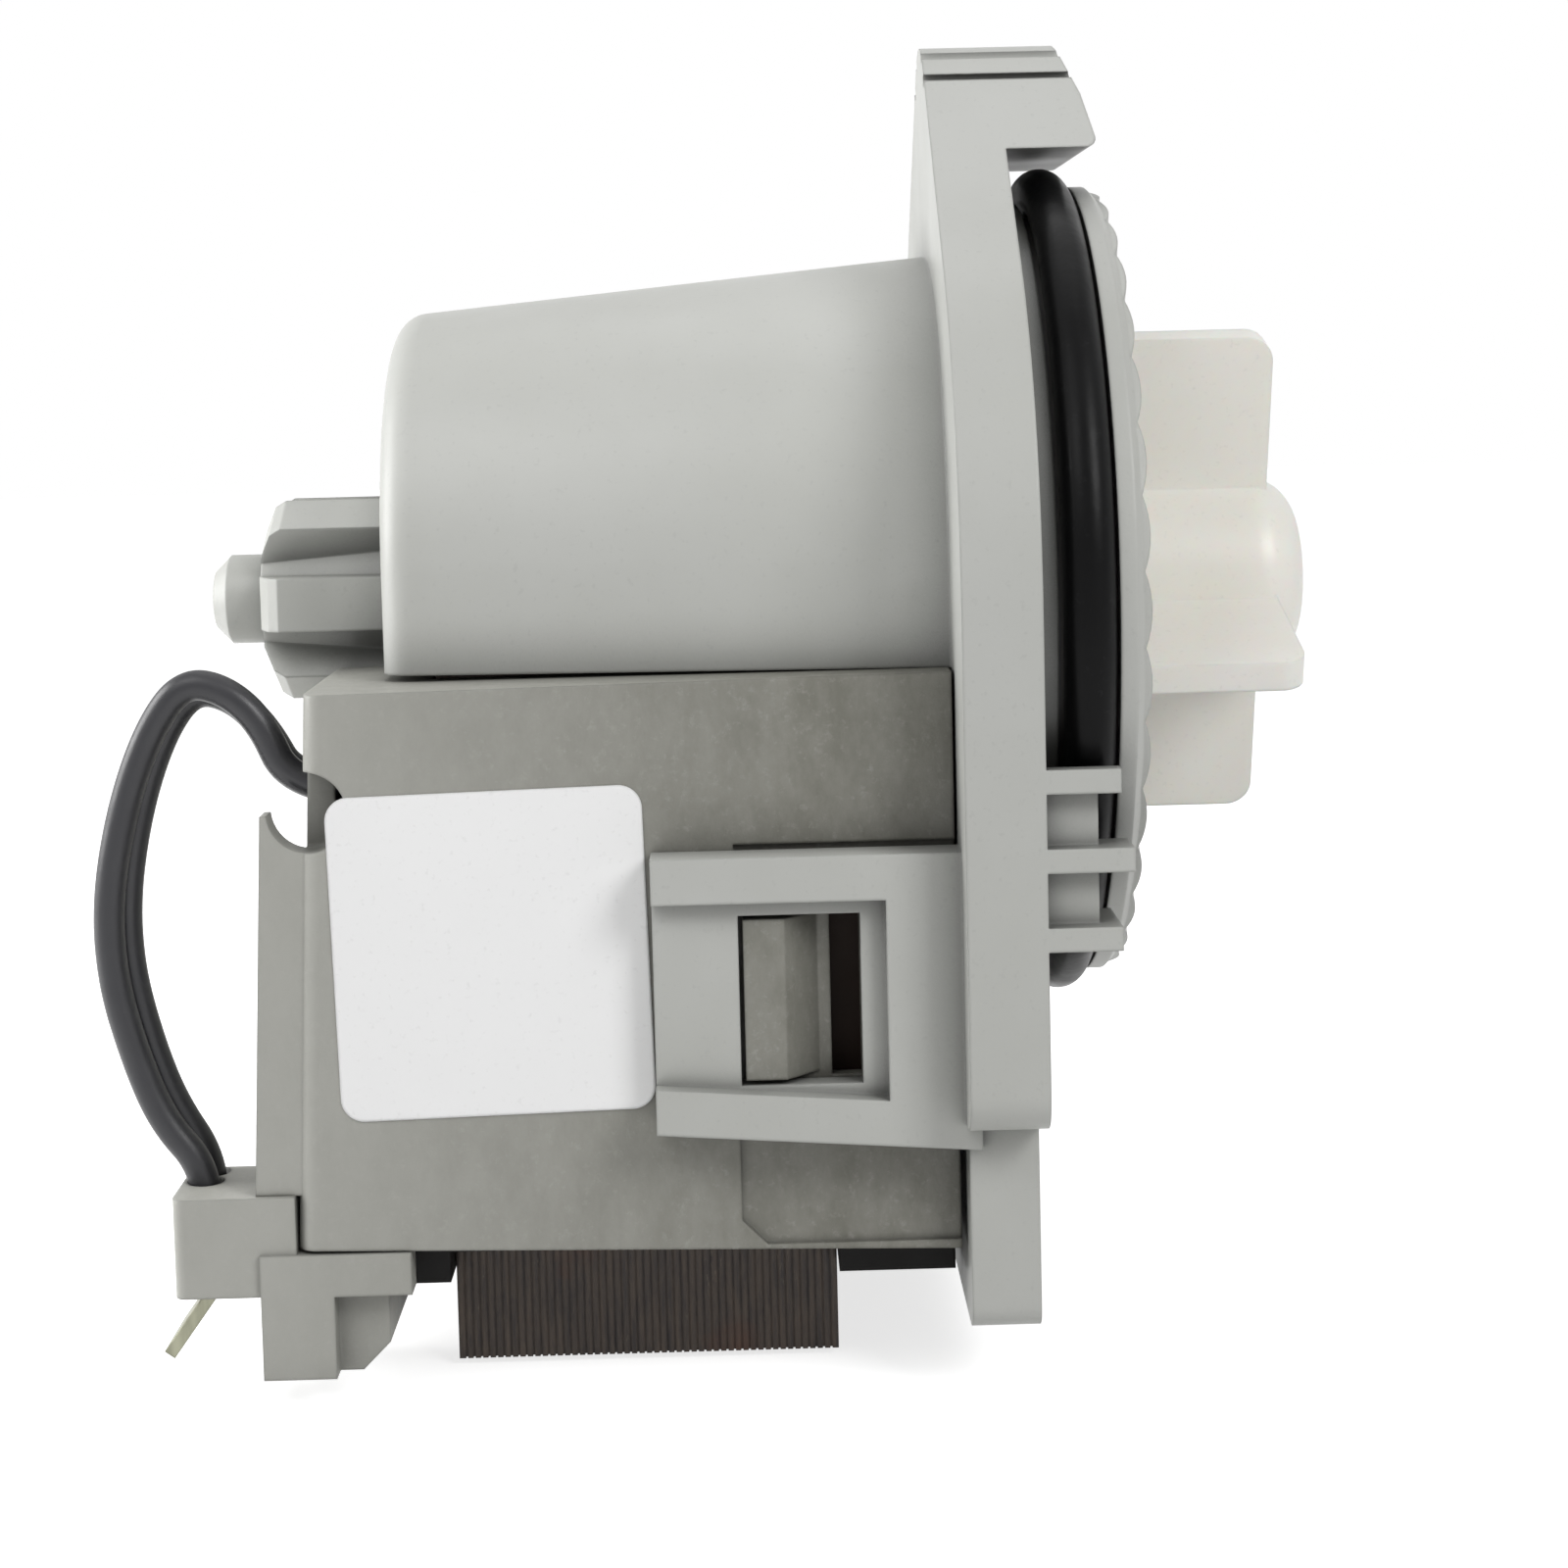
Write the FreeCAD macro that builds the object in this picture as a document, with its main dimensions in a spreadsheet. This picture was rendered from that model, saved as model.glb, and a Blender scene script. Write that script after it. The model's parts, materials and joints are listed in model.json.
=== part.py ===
import FreeCAD, Part
import math
import os
import Sketcher

# Dishwasher drain pump. The rotor axis is X, and X = 0 is the front face of the mounting plate.
# The impeller is on the +X side, the stator hangs below the axis towards -Z. All sizes are in millimetres.

doc = FreeCAD.newDocument("drain_pump")
sheet = doc.addObject("Spreadsheet::Sheet", "Dims")

SIZES = {
    # how far cuts run past the faces they open, and how far pads sink into what they grow from
    "overcut": 1.0,
    "sink": 1.0,
    # mounting plate
    "plate_thickness": 5.0,
    "plate_ring_edge": 0.1,
    "plate_crown_radius": 5.0,
    "plate_crown_height": 32.5,
    "plate_skirt_drop": 32.4,
    "plate_skirt_corner": 2.5,
    "leg_half_width": 25.0,
    "leg_drop": 46.0,
    "leg_back_inset": 0.2,
    "leg_front_inset": 0.4,
    "leg_corner": 1.5,
    # hook on top of the plate
    "hook_underside": 29.6,
    "hook_reach": 6.2,
    "hook_slant": 2.0,
    "hook_nose_radius": 0.7,
    "hook_nose_bulge": 0.35,
    "hook_groove_radius": 0.45,
    "hook_groove_high": 33.0,
    "hook_groove_low": 62.7,
    # arched hood over the rotor can
    "hood_rear": 42.0,
    "hood_wall": 1.5,
    "hood_centre_height": 3.0,
    "hood_front_radius": 20.0,
    "hood_rear_radius": 16.7,
    "hood_rear_fillet": 2.2,
    # rotor can
    "can_inner_radius": 10.1,
    "can_wall": 0.8,
    # rear boss with its ribs and tip
    "boss_rear": 51.8,
    "boss_root_radius": 5.4,
    "boss_core_radius": 4.6,
    "boss_rib_radius": 7.0,
    "boss_rib_width": 3.7,
    "boss_rib_count": 6,
    "boss_rib_slope": 1.6,
    "boss_tip_length": 3.8,
    "boss_tip_radius": 3.15,
    "boss_tip_fillet": 1.1,
    # neck and bayonet lugs on the plate's front
    "neck_length": 1.2,
    "neck_width": 1.0,
    "lug_reach": 4.6,
    "lug_middle_reach": 5.4,
    "lug_top_drop": 9.5,
    "lug_bottom_drop": 20.8,
    "lug_depth": 6.0,
    "lug_ring_gap": 0.4,
    "lug_rib_proud": 1.3,
    "lug_rib_width": 1.5,
    # latch clips along the casing
    "clip_length": 19.5,
    "clip_top_drop": 15.0,
    "clip_bottom_drop": 32.5,
    "clip_taper": 1.5,
    "clip_web": 1.6,
    "clip_rail_height": 2.9,
    "clip_rail_proud": 1.3,
    "clip_end_wall": 1.6,
    "clip_gap": 0.3,
    "window_rear": 19.1,
    "window_front": 11.4,
    "window_top_drop": 18.9,
    "window_bottom_drop": 29.8,
    # front cover
    "cover_disc_radius": 27.6,
    "cover_disc_back": 4.9,
    "cover_disc_front": 6.5,
    "cover_barrel_gap": 0.05,
    "cover_dish_depth": 1.1,
    "cover_dish_inner": 8.0,
    "cover_dish_outer": 18.6,
    "cover_plug_radius": 12.9,
    "cover_plug_length": 3.4,
    "cover_plug_gap": 0.15,
    "cover_hub_radius": 5.4,
    "scallop_count": 36,
    "scallop_proud": 0.42,
    "scallop_half_angle": 20.3,
    "scallop_root": 0.3,
    "cover_rim_chamfer": 0.5,
    "scallop_inset": 0.4,
    # sealing rings
    "ring_section": 3.3,
    "ring_outer_radius": 28.9,
    "ring_centre": 3.05,
    "small_ring_section": 1.7,
    "small_ring_play": 0.05,
    "gasket_fit": 0.02,
    "small_ring_centre": 1.7,
    # stator casing
    "casing_half_depth": 22.5,
    "casing_rear": 46.3,
    "casing_front_gap": 0.2,
    "casing_top": 4.0,
    "casing_top_fall": 0.5,
    "casing_bottom": 41.3,
    "casing_bottom_rise": 1.0,
    "casing_rear_lean": 1.6,
    "casing_wall": 1.5,
    "casing_corner": 1.2,
    "casing_opening_gap": 0.3,
    "boss_notch_gap": 0.4,
    "track_depth": 0.4,
    "track_corner": 1.6,
    "track_play": 0.2,
    "track_rise": 0.6,
    "tooth_width": 2.6,
    "tooth_gap": 0.3,
    "tooth_root": 0.5,
    "tooth_inset": 0.1,
    "guide_rear": 49.3,
    "guide_rear_lean": 1.2,
    "guide_wall": 2.0,
    "guide_root": 0.5,
    "saddle_rise": 0.2,
    "guide_top_drop": 12.2,
    "guide_bottom_drop": 36.8,
    "guide_saddle": 2.6,
    # label
    "label_middle": 34.85,
    "label_middle_drop": 21.3,
    "label_width": 20.1,
    "label_height": 20.9,
    "label_tilt": 1.2,
    "label_corner": 1.5,
    "label_thickness": 0.1,
    # terminal block
    "block_rear": 55.9,
    "block_gap": 0.05,
    "block_top_drop": 36.8,
    "block_bottom_drop": 43.3,
    "block_half_depth": 22.4,
    "block_inner_depth": 15.0,
    "block_corner": 0.8,
    "foot_proud": 0.3,
    "foot_gap": 0.25,
    "foot_front": 40.6,
    "post_front": 42.3,
    "post_middle": 45.6,
    "post_rear": 50.3,
    "post_drop": 48.7,
    "post_depth": 12.0,
    "post_step": 1.6,
    "post_chamfer": 1.8,
    "spade_width": 6.3,
    "spade_thickness": 0.8,
    "spade_lean": 36.0,
    "spade_seat": 3.2,
    "spade_spacing": 37.4,
    "spade_rear": 53.7,
    "spade_reach": 4.7,
    "spade_play": 0.05,
    "spade_slot": 3.0,
    "foot_ear": 2.3,
    # laminated core
    "core_rear": 38.6,
    "sheet_thickness": 0.5,
    "sheet_count": 51,
    "sheet_groove": 0.14,
    "seam_stop": 0.5,
    "sheet_groove_depth": 0.08,
    "core_half_width": 15.0,
    "limb_width": 5.4,
    "yoke_height": 8.6,
    "yoke_drop": 50.4,
    "pole_gap": 0.25,
    "pole_rise": 8.5,
    "pole_corner": 1.6,
    "shoe_reach": 5.6,
    "shoe_drop": 14.0,
    # coil formers and windings
    "former_top": 14.4,
    "former_flange": 1.0,
    "former_wall": 0.9,
    "former_gap": 0.1,
    "former_drop": 0.1,
    "winding_depth": 4.1,
    "winding_corner": 2.5,
    "cheek_inner": 4.5,
    "cheek_outer": 17.5,
    "cheek_drop": 44.3,
    "cheek_front": 5.3,
    "cheek_rear": 41.2,
    "winding_gap": 0.3,
    # rotor
    "shaft_radius": 1.25,
    "shaft_rear": 48.4,
    "shaft_front": 16.3,
    "shaft_chamfer": 0.3,
    "shaft_end_gap": 0.5,
    "hub_shaft_gap": 0.3,
    "magnet_radius": 9.5,
    "magnet_rear": 37.4,
    "magnet_length": 24.5,
    "sleeve_radius": 3.0,
    "sleeve_rear": 41.2,
    "sleeve_front": 9.9,
    "sleeve_flange_radius": 6.0,
    "sleeve_flange": 1.0,
    "bearing_radius": 2.6,
    "bearing_length": 5.0,
    "bearing_play": 0.04,
    "cushion_radius": 3.5,
    "washer_radius": 2.4,
    "washer_thickness": 0.5,
    "end_play": 0.1,
    "seal_radius": 5.0,
    "seal_length": 3.0,
    "seal_play": 0.1,
    # impeller and its drive
    "impeller_rear": 7.6,
    "impeller_radius": 17.9,
    "blade_thickness": 2.0,
    "blade_front": 18.6,
    "blade_corner": 1.8,
    "blade_count": 4,
    "blade_turn": 18.0,
    "hub_radius": 7.0,
    "hub_front": 21.0,
    "hub_dome": 3.6,
    "chamber_radius": 4.8,
    "chamber_front": 14.8,
    "cap_thickness": 1.2,
    "dog_core_radius": 2.5,
    "dog_radius": 4.5,
    "dog_angle": 80.0,
    "stop_angle": 60.0,
    "dog_play": 0.25,
    "hub_bore_play": 0.08,
    # leads
    "lead_diameter": 2.0,
    "lead_offset": 2.15,
    "near_lead_depth": 18.2,
    "lead_spread": 0.35,
    "lead_play": 0.2,
    "lead_seat": 1.4,
    "lead_end_gap": 0.1,
    # temperature switch between the coils
    "cutout_length": 8.4,
    "cutout_gap": 0.1,
    "cutout_side_gap": 0.3,
    "cutout_corner": 1.0,
    "cutout_height": 4.0,
    "cutout_drop": 15.0,
}


def fill_sheet():
    for row, (name, number) in enumerate(SIZES.items(), start=1):
        sheet.set("A%d" % row, name)
        sheet.set("B%d" % row, str(number))
        sheet.setAlias("B%d" % row, name)
    doc.recompute()


class Size:
    """A number together with the formula that gives it from the sheet."""

    def __init__(self, number, text):
        self.number = float(number)
        self.text = text

    def __add__(self, other):
        other = as_size(other)
        return Size(self.number + other.number, "(%s + %s)" % (self.text, other.text))

    def __sub__(self, other):
        other = as_size(other)
        return Size(self.number - other.number, "(%s - %s)" % (self.text, other.text))

    def __mul__(self, other):
        other = as_size(other)
        return Size(self.number * other.number, "(%s * %s)" % (self.text, other.text))

    def __truediv__(self, other):
        other = as_size(other)
        return Size(self.number / other.number, "(%s / %s)" % (self.text, other.text))

    def __radd__(self, other):
        return as_size(other) + self

    def __rsub__(self, other):
        return as_size(other) - self

    def __rmul__(self, other):
        return as_size(other) * self

    def __neg__(self):
        return Size(-self.number, "(-1 * %s)" % self.text)


def as_size(value):
    if isinstance(value, Size):
        return value
    return Size(value, "%.6g" % value)


def root(value):
    return Size(math.sqrt(value.number), "sqrt(%s)" % value.text)


def sine(degrees):
    degrees = as_size(degrees)
    return Size(math.sin(math.radians(degrees.number)), "sin(%s)" % degrees.text)


def cosine(degrees):
    degrees = as_size(degrees)
    return Size(math.cos(math.radians(degrees.number)), "cos(%s)" % degrees.text)


class Names:
    """Gives each size of the sheet as an attribute."""

    def __getattr__(self, name):
        return Size(getattr(sheet, name), "Dims." + name)


d = Names()


def bind(target, path, value):
    value = as_size(value)
    target.setExpression(path, value.text)


def new_body(label):
    body = doc.addObject("PartDesign::Body", label)
    body.Label = label
    return body


def plane_of(body, role):
    for feature in body.Origin.OriginFeatures:
        if feature.Role == role:
            return feature


def new_sketch(body, role, offset=0.0):
    """An empty sketch on one of the body's planes, moved along the plane's normal."""
    sketch = body.newObject("Sketcher::SketchObject", body.Name + "_sketch")
    sketch.AttachmentSupport = (plane_of(body, role), [""])
    sketch.MapMode = "FlatFace"
    bind(sketch, "AttachmentOffset.Base.z", offset)
    return sketch


def pin_point(sketch, geometry, point, x, y):
    """Holds a point of the sketch at the given place."""
    for kind, value in (("DistanceX", x), ("DistanceY", y)):
        value = as_size(value)
        index = sketch.addConstraint(
            Sketcher.Constraint(kind, -1, 1, geometry, point, value.number)
        )
        bind(sketch, "Constraints[%d]" % index, value)


def vector(x, y):
    return FreeCAD.Vector(as_size(x).number, as_size(y).number, 0)


def add_polygon(sketch, points):
    """A closed outline of straight lines through the points."""
    first = sketch.GeometryCount
    count = len(points)
    for index, (x, y) in enumerate(points):
        end_x, end_y = points[(index + 1) % count]
        sketch.addGeometry(Part.LineSegment(vector(x, y), vector(end_x, end_y)), False)
    for index in range(count):
        following = first + (index + 1) % count
        sketch.addConstraint(Sketcher.Constraint("Coincident", first + index, 2, following, 1))
    for index, (x, y) in enumerate(points):
        pin_point(sketch, first + index, 1, x, y)


def add_box(sketch, left, right, bottom, top):
    add_polygon(sketch, [(left, bottom), (right, bottom), (right, top), (left, top)])


def add_circle(sketch, x, y, radius):
    radius = as_size(radius)
    centre = vector(x, y)
    circle = sketch.addGeometry(
        Part.Circle(centre, FreeCAD.Vector(0, 0, 1), radius.number), False
    )
    pin_point(sketch, circle, 3, x, y)
    index = sketch.addConstraint(Sketcher.Constraint("Radius", circle, radius.number))
    bind(sketch, "Constraints[%d]" % index, radius)


def add_arch(sketch, radius, centre_height, lower_edge):
    """A half circle on two upright lines, closed by a level line."""
    r, c, z = radius.number, centre_height.number, lower_edge.number
    circle = Part.Circle(FreeCAD.Vector(0, c, 0), FreeCAD.Vector(0, 0, 1), r)
    arc = sketch.addGeometry(Part.ArcOfCircle(circle, 0, math.pi), False)
    corners = [(-r, c), (-r, z), (r, z), (r, c)]
    lines = [
        sketch.addGeometry(Part.LineSegment(vector(*a), vector(*b)), False)
        for a, b in zip(corners, corners[1:])
    ]
    loop = [arc] + lines
    joins = [(a, 2, b, 1) for a, b in zip(loop, lines + [arc])]
    for join in joins:
        sketch.addConstraint(Sketcher.Constraint("Coincident", *join))
    pin_point(sketch, lines[0], 1, -radius, centre_height)
    pin_point(sketch, lines[1], 1, -radius, lower_edge)
    pin_point(sketch, lines[2], 1, radius, lower_edge)
    pin_point(sketch, lines[2], 2, radius, centre_height)
    index = sketch.addConstraint(Sketcher.Constraint("DistanceY", -1, 1, arc, 3, c))
    bind(sketch, "Constraints[%d]" % index, centre_height)


def add_sector(sketch, inner, outer, half_angle, middle):
    """A piece of a ring, half_angle degrees to each side of the middle: 0 (right), 90 (up) or 270 (down)."""
    low = middle - half_angle
    high = middle + half_angle
    turns = [math.radians(low.number), math.radians(high.number)]
    arcs = []
    for radius in (inner, outer):
        circle = Part.Circle(FreeCAD.Vector(), FreeCAD.Vector(0, 0, 1), radius.number)
        arcs.append(sketch.addGeometry(Part.ArcOfCircle(circle, *turns), False))
    sides = []
    for angle in (low, high):
        start = (inner * cosine(angle), inner * sine(angle))
        end = (outer * cosine(angle), outer * sine(angle))
        side = sketch.addGeometry(Part.LineSegment(vector(*start), vector(*end)), False)
        pin_point(sketch, side, 1, *start)
        pin_point(sketch, side, 2, *end)
        sides.append(side)
    for line, point in zip(sides, (1, 2)):
        sketch.addConstraint(Sketcher.Constraint("Coincident", arcs[0], point, line, 1))
        sketch.addConstraint(Sketcher.Constraint("Coincident", arcs[1], point, line, 2))
    held = "DistanceX" if middle.number == 0 else "DistanceY"
    for arc in arcs:
        sketch.addConstraint(Sketcher.Constraint(held, -1, 1, arc, 3, 0.0))


def add_feature(body, kind, sketch, length, reverse=False, both_ways=False):
    feature = body.newObject("PartDesign::" + kind, body.Name + "_" + kind.lower())
    feature.Profile = sketch
    bind(feature, "Length", length)
    feature.Reversed = reverse
    feature.Midplane = both_ways
    sketch.Visibility = False
    doc.recompute()
    return feature


def pad(body, sketch, length, reverse=False, both_ways=False):
    return add_feature(body, "Pad", sketch, length, reverse, both_ways)


def pocket(body, sketch, length, reverse=False, both_ways=False):
    before = body.Shape.Volume
    feature = add_feature(body, "Pocket", sketch, length, reverse, both_ways)
    if body.Shape.Volume > before - 0.001:
        raise RuntimeError(body.Label + ": the pocket cuts nothing")
    return feature


def revolve(body, kind, sketch):
    """Turns the sketch once round its own horizontal axis."""
    feature = body.newObject("PartDesign::" + kind, body.Name + "_" + kind.lower())
    feature.Profile = sketch
    feature.ReferenceAxis = (sketch, ["H_Axis"])
    feature.Angle = 360.0
    sketch.Visibility = False
    doc.recompute()
    return feature


def turned(label, outline):
    """A turned piece from its half section, given as points of X and radius."""
    body = new_body(label)
    sketch = new_sketch(body, "XZ_Plane")
    add_polygon(sketch, outline)
    revolve(body, "Revolution", sketch)
    return body


def tube(label, inner, outer, rear, front):
    return turned(label, [(rear, inner), (front, inner), (front, outer), (rear, outer)])


def polar_copies(body, feature, count):
    pattern = body.newObject("PartDesign::PolarPattern", body.Name + "_round")
    pattern.Originals = [feature]
    pattern.Axis = (axis_of(body, "X_Axis"), [""])
    pattern.Angle = 360.0
    bind(pattern, "Occurrences", count)
    body.Tip = pattern
    doc.recompute()
    return pattern


def axis_of(body, role):
    for feature in body.Origin.OriginFeatures:
        if feature.Role == role:
            return feature


def mirror(body, features, role="XZ_Plane"):
    """Repeats the features on the other side of one of the body's planes."""
    copy = body.newObject("PartDesign::Mirrored", body.Name + "_mirror")
    copy.Originals = features
    copy.MirrorPlane = (plane_of(body, role), [""])
    body.Tip = copy
    doc.recompute()
    return copy


def edge_names(shape, wanted):
    return ["Edge%d" % (i + 1) for i, edge in enumerate(shape.Edges) if wanted(edge)]


def round_edges(body, wanted, radius, kind="Fillet"):
    """Fillets or chamfers the edges of the body's present shape that the test picks."""
    base = body.Tip
    names = edge_names(base.Shape, wanted)
    if not names:
        raise RuntimeError(body.Label + ": no edge to round")
    feature = body.newObject("PartDesign::" + kind, body.Name + "_" + kind.lower())
    feature.Base = (base, names)
    bind(feature, "Radius" if kind == "Fillet" else "Size", radius)
    body.Tip = feature
    doc.recompute()
    return feature


def near(a, b, tolerance=0.02):
    return abs(a - as_size(b).number) < tolerance


def is_upright_line(edge, direction):
    if edge.Curve.TypeId != "Part::GeomLine":
        return False
    along = edge.tangentAt(edge.FirstParameter)
    return abs(along.dot(direction)) > 0.999


X_WAY = FreeCAD.Vector(1, 0, 0)
Y_WAY = FreeCAD.Vector(0, 1, 0)
Z_WAY = FreeCAD.Vector(0, 0, 1)


# Motor housing: plate, hook, hood, can, boss, neck, lugs and clips in one moulding.

def flank_points():
    """Where the straight flanks touch the plate's big circle and the small crown circle."""
    lean = (plate_radius() - d.plate_crown_radius) / d.plate_crown_height
    side = root(1 - lean * lean)
    big = (plate_radius() * side, plate_radius() * lean)
    small = (d.plate_crown_radius * side, d.plate_crown_height + d.plate_crown_radius * lean)
    return big, small


def plate_radius():
    return d.ring_outer_radius + d.plate_ring_edge


def plate_outline_pads(body, back, length):
    (big_y, big_z), (small_y, small_z) = flank_points()
    disc = new_sketch(body, "YZ_Plane", back)
    add_circle(disc, 0, 0, plate_radius())
    pad(body, disc, length)
    flank = new_sketch(body, "YZ_Plane", back)
    add_polygon(flank, [(-big_y, big_z), (big_y, big_z), (small_y, small_z), (-small_y, small_z)])
    pad(body, flank, length)
    crown = new_sketch(body, "YZ_Plane", back)
    add_circle(crown, 0, d.plate_crown_height, d.plate_crown_radius)
    pad(body, crown, length)
    skirt = new_sketch(body, "YZ_Plane", back)
    add_box(skirt, -plate_radius(), plate_radius(), -d.plate_skirt_drop, 0)
    pad(body, skirt, length)


def hook_pads(body):
    """The plate's top outline carried forward over the ring, with a slanted nose."""
    (big_y, big_z), (small_y, small_z) = flank_points()
    share = (d.hook_underside - big_z) / (small_z - big_z)
    root_y = big_y - (big_y - small_y) * share
    flank = new_sketch(body, "YZ_Plane")
    under = d.hook_underside
    add_polygon(flank, [(-root_y, under), (root_y, under), (small_y, small_z), (-small_y, small_z)])
    pad(body, flank, d.hook_reach)
    crown = new_sketch(body, "YZ_Plane")
    add_circle(crown, 0, d.plate_crown_height, d.plate_crown_radius)
    pad(body, crown, d.hook_reach)
    slot = new_sketch(body, "YZ_Plane")
    add_box(slot, -root_y * 2, root_y * 2, under - 2 * d.plate_crown_radius, under)
    pocket(body, slot, d.hook_reach * 2, reverse=True)
    top = d.plate_crown_height + d.plate_crown_radius
    nose = new_sketch(body, "XZ_Plane")
    middle = (under + top) / 2
    add_polygon(nose, [
        (d.hook_reach, under),
        (d.hook_reach * 2, under),
        (d.hook_reach * 2, top * 2),
        (d.hook_reach - d.hook_slant * 2, top * 2),
        (d.hook_reach - d.hook_slant, top),
        (d.hook_reach - d.hook_slant / 2 + d.hook_nose_bulge, middle),
    ])
    pocket(body, nose, 2 * plate_radius(), both_ways=True)
    round_edges(
        body,
        lambda e: is_upright_line(e, Y_WAY)
        and near(e.CenterOfMass.x, d.hook_reach)
        and near(e.CenterOfMass.z, under),
        d.hook_nose_radius,
    )


def hook_grooves(body):
    """Two shallow grooves run along each side of the crown."""
    length = d.plate_thickness + d.hook_reach
    for side in (-1, 1):
        for angle in (d.hook_groove_high, d.hook_groove_low):
            sketch = new_sketch(body, "YZ_Plane", -d.plate_thickness)
            y = d.plate_crown_radius * sine(angle) * side
            z = d.plate_crown_height + d.plate_crown_radius * cosine(angle)
            add_circle(sketch, y, z, d.hook_groove_radius)
            pocket(body, sketch, length, reverse=True)


def hood_loft(body, kind, inset, rear, front):
    rear_sketch = new_sketch(body, "YZ_Plane", rear)
    add_arch(rear_sketch, d.hood_rear_radius - inset, d.hood_centre_height, -d.casing_top)
    front_sketch = new_sketch(body, "YZ_Plane", front)
    add_arch(front_sketch, d.hood_front_radius - inset, d.hood_centre_height, -d.casing_top)
    loft = body.newObject("PartDesign::" + kind, body.Name + "_loft")
    loft.Profile = rear_sketch
    loft.Sections = [front_sketch]
    loft.Ruled = True
    doc.recompute()
    return loft


def boss(body):
    """The rear boss: a tapered core, radial ribs with sloping ends and a rounded tip."""
    core = new_sketch(body, "XZ_Plane")
    inside = -d.hood_rear + d.hood_wall
    tip_end = -d.boss_rear - d.boss_tip_length
    rounding = d.boss_tip_fillet
    add_polygon(core, [
        (inside, 0),
        (inside, d.boss_root_radius),
        (-d.hood_rear, d.boss_root_radius),
        (-d.boss_rear, d.boss_core_radius),
        (-d.boss_rear, d.boss_tip_radius),
        (tip_end + rounding, d.boss_tip_radius),
        (tip_end, d.boss_tip_radius - rounding),
        (tip_end, 0),
    ])
    revolve(body, "Revolution", core)
    rib = new_sketch(body, "XY_Plane")
    middle = d.boss_tip_radius / 2
    add_polygon(rib, [
        (inside, middle),
        (-d.boss_rear, middle),
        (-d.boss_rear, d.boss_core_radius),
        (-d.boss_rear + d.boss_rib_slope / 2, d.boss_rib_radius - d.boss_rib_slope / 3),
        (-d.boss_rear + d.boss_rib_slope, d.boss_rib_radius),
        (inside, d.boss_rib_radius),
    ])
    ribs = pad(body, rib, d.boss_rib_width, both_ways=True)
    polar_copies(body, ribs, d.boss_rib_count)


def lug(body):
    """The ribbed bayonet lug at the plate's near edge."""
    outer = plate_radius()
    block = new_sketch(body, "XZ_Plane", outer - d.lug_depth)
    inset = d.lug_rib_proud
    add_box(block, -d.sink, d.lug_reach - inset, -d.lug_bottom_drop + inset, -d.lug_top_drop - inset)
    block_pad = pad(body, block, d.lug_depth - inset)
    step = (d.lug_bottom_drop - d.lug_top_drop - d.lug_rib_width) / 2
    pads = [block_pad]
    for index, reach in enumerate((d.lug_reach, d.lug_middle_reach, d.lug_reach)):
        top = -d.lug_top_drop - step * index
        rib = new_sketch(body, "XZ_Plane", outer - d.lug_depth)
        add_box(rib, -d.sink, reach, top - d.lug_rib_width, top)
        pads.append(pad(body, rib, d.lug_depth))
    return pads


def clip(body):
    """A latch arm beside the casing: two rails, a thinner web between them and a window."""
    front = -d.plate_thickness
    rear = front - d.clip_length
    root = front + d.sink
    face = d.casing_half_depth + d.clip_gap
    web_outer = face + d.clip_web
    top = -d.clip_top_drop
    bottom = -d.clip_bottom_drop
    taper = d.clip_taper
    web = new_sketch(body, "XZ_Plane", face)
    add_polygon(web, [(rear, bottom), (root, bottom - taper), (root, top), (rear, top)])
    pads = [pad(body, web, d.clip_web)]
    upper = new_sketch(body, "XZ_Plane", web_outer)
    add_box(upper, rear, root, top - d.clip_rail_height, top)
    pads.append(pad(body, upper, d.clip_rail_proud))
    lower = new_sketch(body, "XZ_Plane", web_outer)
    rise = d.clip_rail_height
    add_polygon(lower, [
        (rear, bottom),
        (root, bottom - taper),
        (root, bottom + rise - taper),
        (rear, bottom + rise),
    ])
    pads.append(pad(body, lower, d.clip_rail_proud))
    wall = new_sketch(body, "XZ_Plane", web_outer)
    add_box(wall, -d.window_front + d.clip_end_wall, root, bottom + d.sink, top - d.sink)
    pads.append(pad(body, wall, d.clip_rail_proud))
    window = new_sketch(body, "XZ_Plane", face - d.overcut)
    add_box(window, -d.window_rear, -d.window_front, -d.window_bottom_drop, -d.window_top_drop)
    cut = pocket(body, window, d.clip_web + d.clip_rail_proud + 2 * d.overcut, reverse=True)
    return pads, cut


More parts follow.
